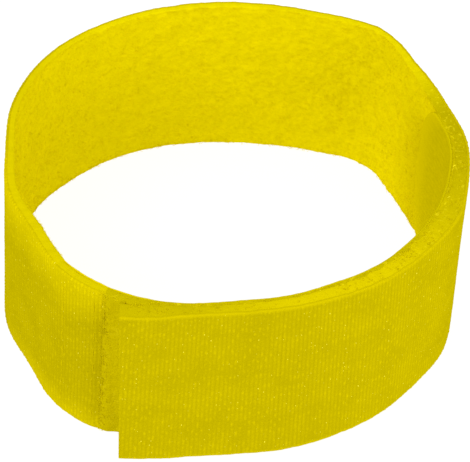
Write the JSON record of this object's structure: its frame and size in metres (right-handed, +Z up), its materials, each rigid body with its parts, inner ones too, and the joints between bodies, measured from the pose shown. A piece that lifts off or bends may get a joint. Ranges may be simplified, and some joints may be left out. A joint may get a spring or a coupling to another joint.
{
  "type": "hook and loop wristband",
  "caption": "Flat fabric wristband closed by its own hook tab under a loop-lined flap, for holding a cuff or marking a wrist in racket sports.",
  "frame": {"origin": "middle of the closed band's outline, on the plane that its lower edges stand on", "axes": "+Z up along the band's width; -Y towards the front, where the flap closes over the hook tape; +X towards the right, where the tab ends inside"},
  "size_m": [0.0616, 0.0644, 0.025],
  "materials": {
    "strap_ground": "yellow ribbed woven ground, semi-matt",
    "strap_pile": "yellow brushed loop pile, matt with a soft sheen",
    "hook_tape_ground": "yellow plain woven ground, finely ribbed along the tape",
    "hook_field": "yellow glossy monofilament hooks",
    "seam_thread": "yellow filament thread, slightly glossy"
  },
  "bodies": {
    "band": {"strap_ground": "strap_ground", "strap_pile": "strap_pile", "hook_tape_ground": "hook_tape_ground", "hook_tape_hooks": "hook_field", "seam_needle_thread": "seam_thread", "seam_bobbin_thread": "seam_thread"},
    "flap_1": {"flap_ground_1": "strap_ground", "flap_pile_1": "strap_pile"},
    "flap_2": {"flap_ground_2": "strap_ground", "flap_pile_2": "strap_pile"},
    "flap_3": {"flap_ground_3": "strap_ground", "flap_pile_3": "strap_pile"},
    "flap_4": {"flap_ground_4": "strap_ground", "flap_pile_4": "strap_pile"},
    "tab_1": {"tab_ground_1": "hook_tape_ground", "tab_hooks_1": "hook_field"},
    "tab_2": {"tab_ground_2": "hook_tape_ground", "tab_hooks_2": "hook_field"}
  },
  "joints": [
    {"name": "flap_peel_1", "type": "hinge", "parent": "band", "child": "flap_1", "pos_m": [0.03042, 0.00652, 0.0125], "axis": [0, 0, 1], "range_deg": [0, 45]},
    {"name": "flap_peel_2", "type": "hinge", "parent": "flap_1", "child": "flap_2", "pos_m": [0.02836, -0.01107, 0.0125], "axis": [0, 0, 1], "range_deg": [0, 45]},
    {"name": "flap_peel_3", "type": "hinge", "parent": "flap_2", "child": "flap_3", "pos_m": [0.01854, -0.02321, 0.0125], "axis": [0, 0, 1], "range_deg": [0, 45]},
    {"name": "flap_peel_4", "type": "hinge", "parent": "flap_3", "child": "flap_4", "pos_m": [0.00438, -0.02971, 0.0125], "axis": [0, 0, 1], "range_deg": [0, 45]},
    {"name": "tab_flex_1", "type": "hinge", "parent": "band", "child": "tab_1", "pos_m": [0.02228, -0.01482, 0.0125], "axis": [0, 0, 1], "range_deg": [0, 30]},
    {"name": "tab_flex_2", "type": "hinge", "parent": "tab_1", "child": "tab_2", "pos_m": [0.02805, -0.00079, 0.0125], "axis": [0, 0, 1], "range_deg": [0, 30]}
  ]
}
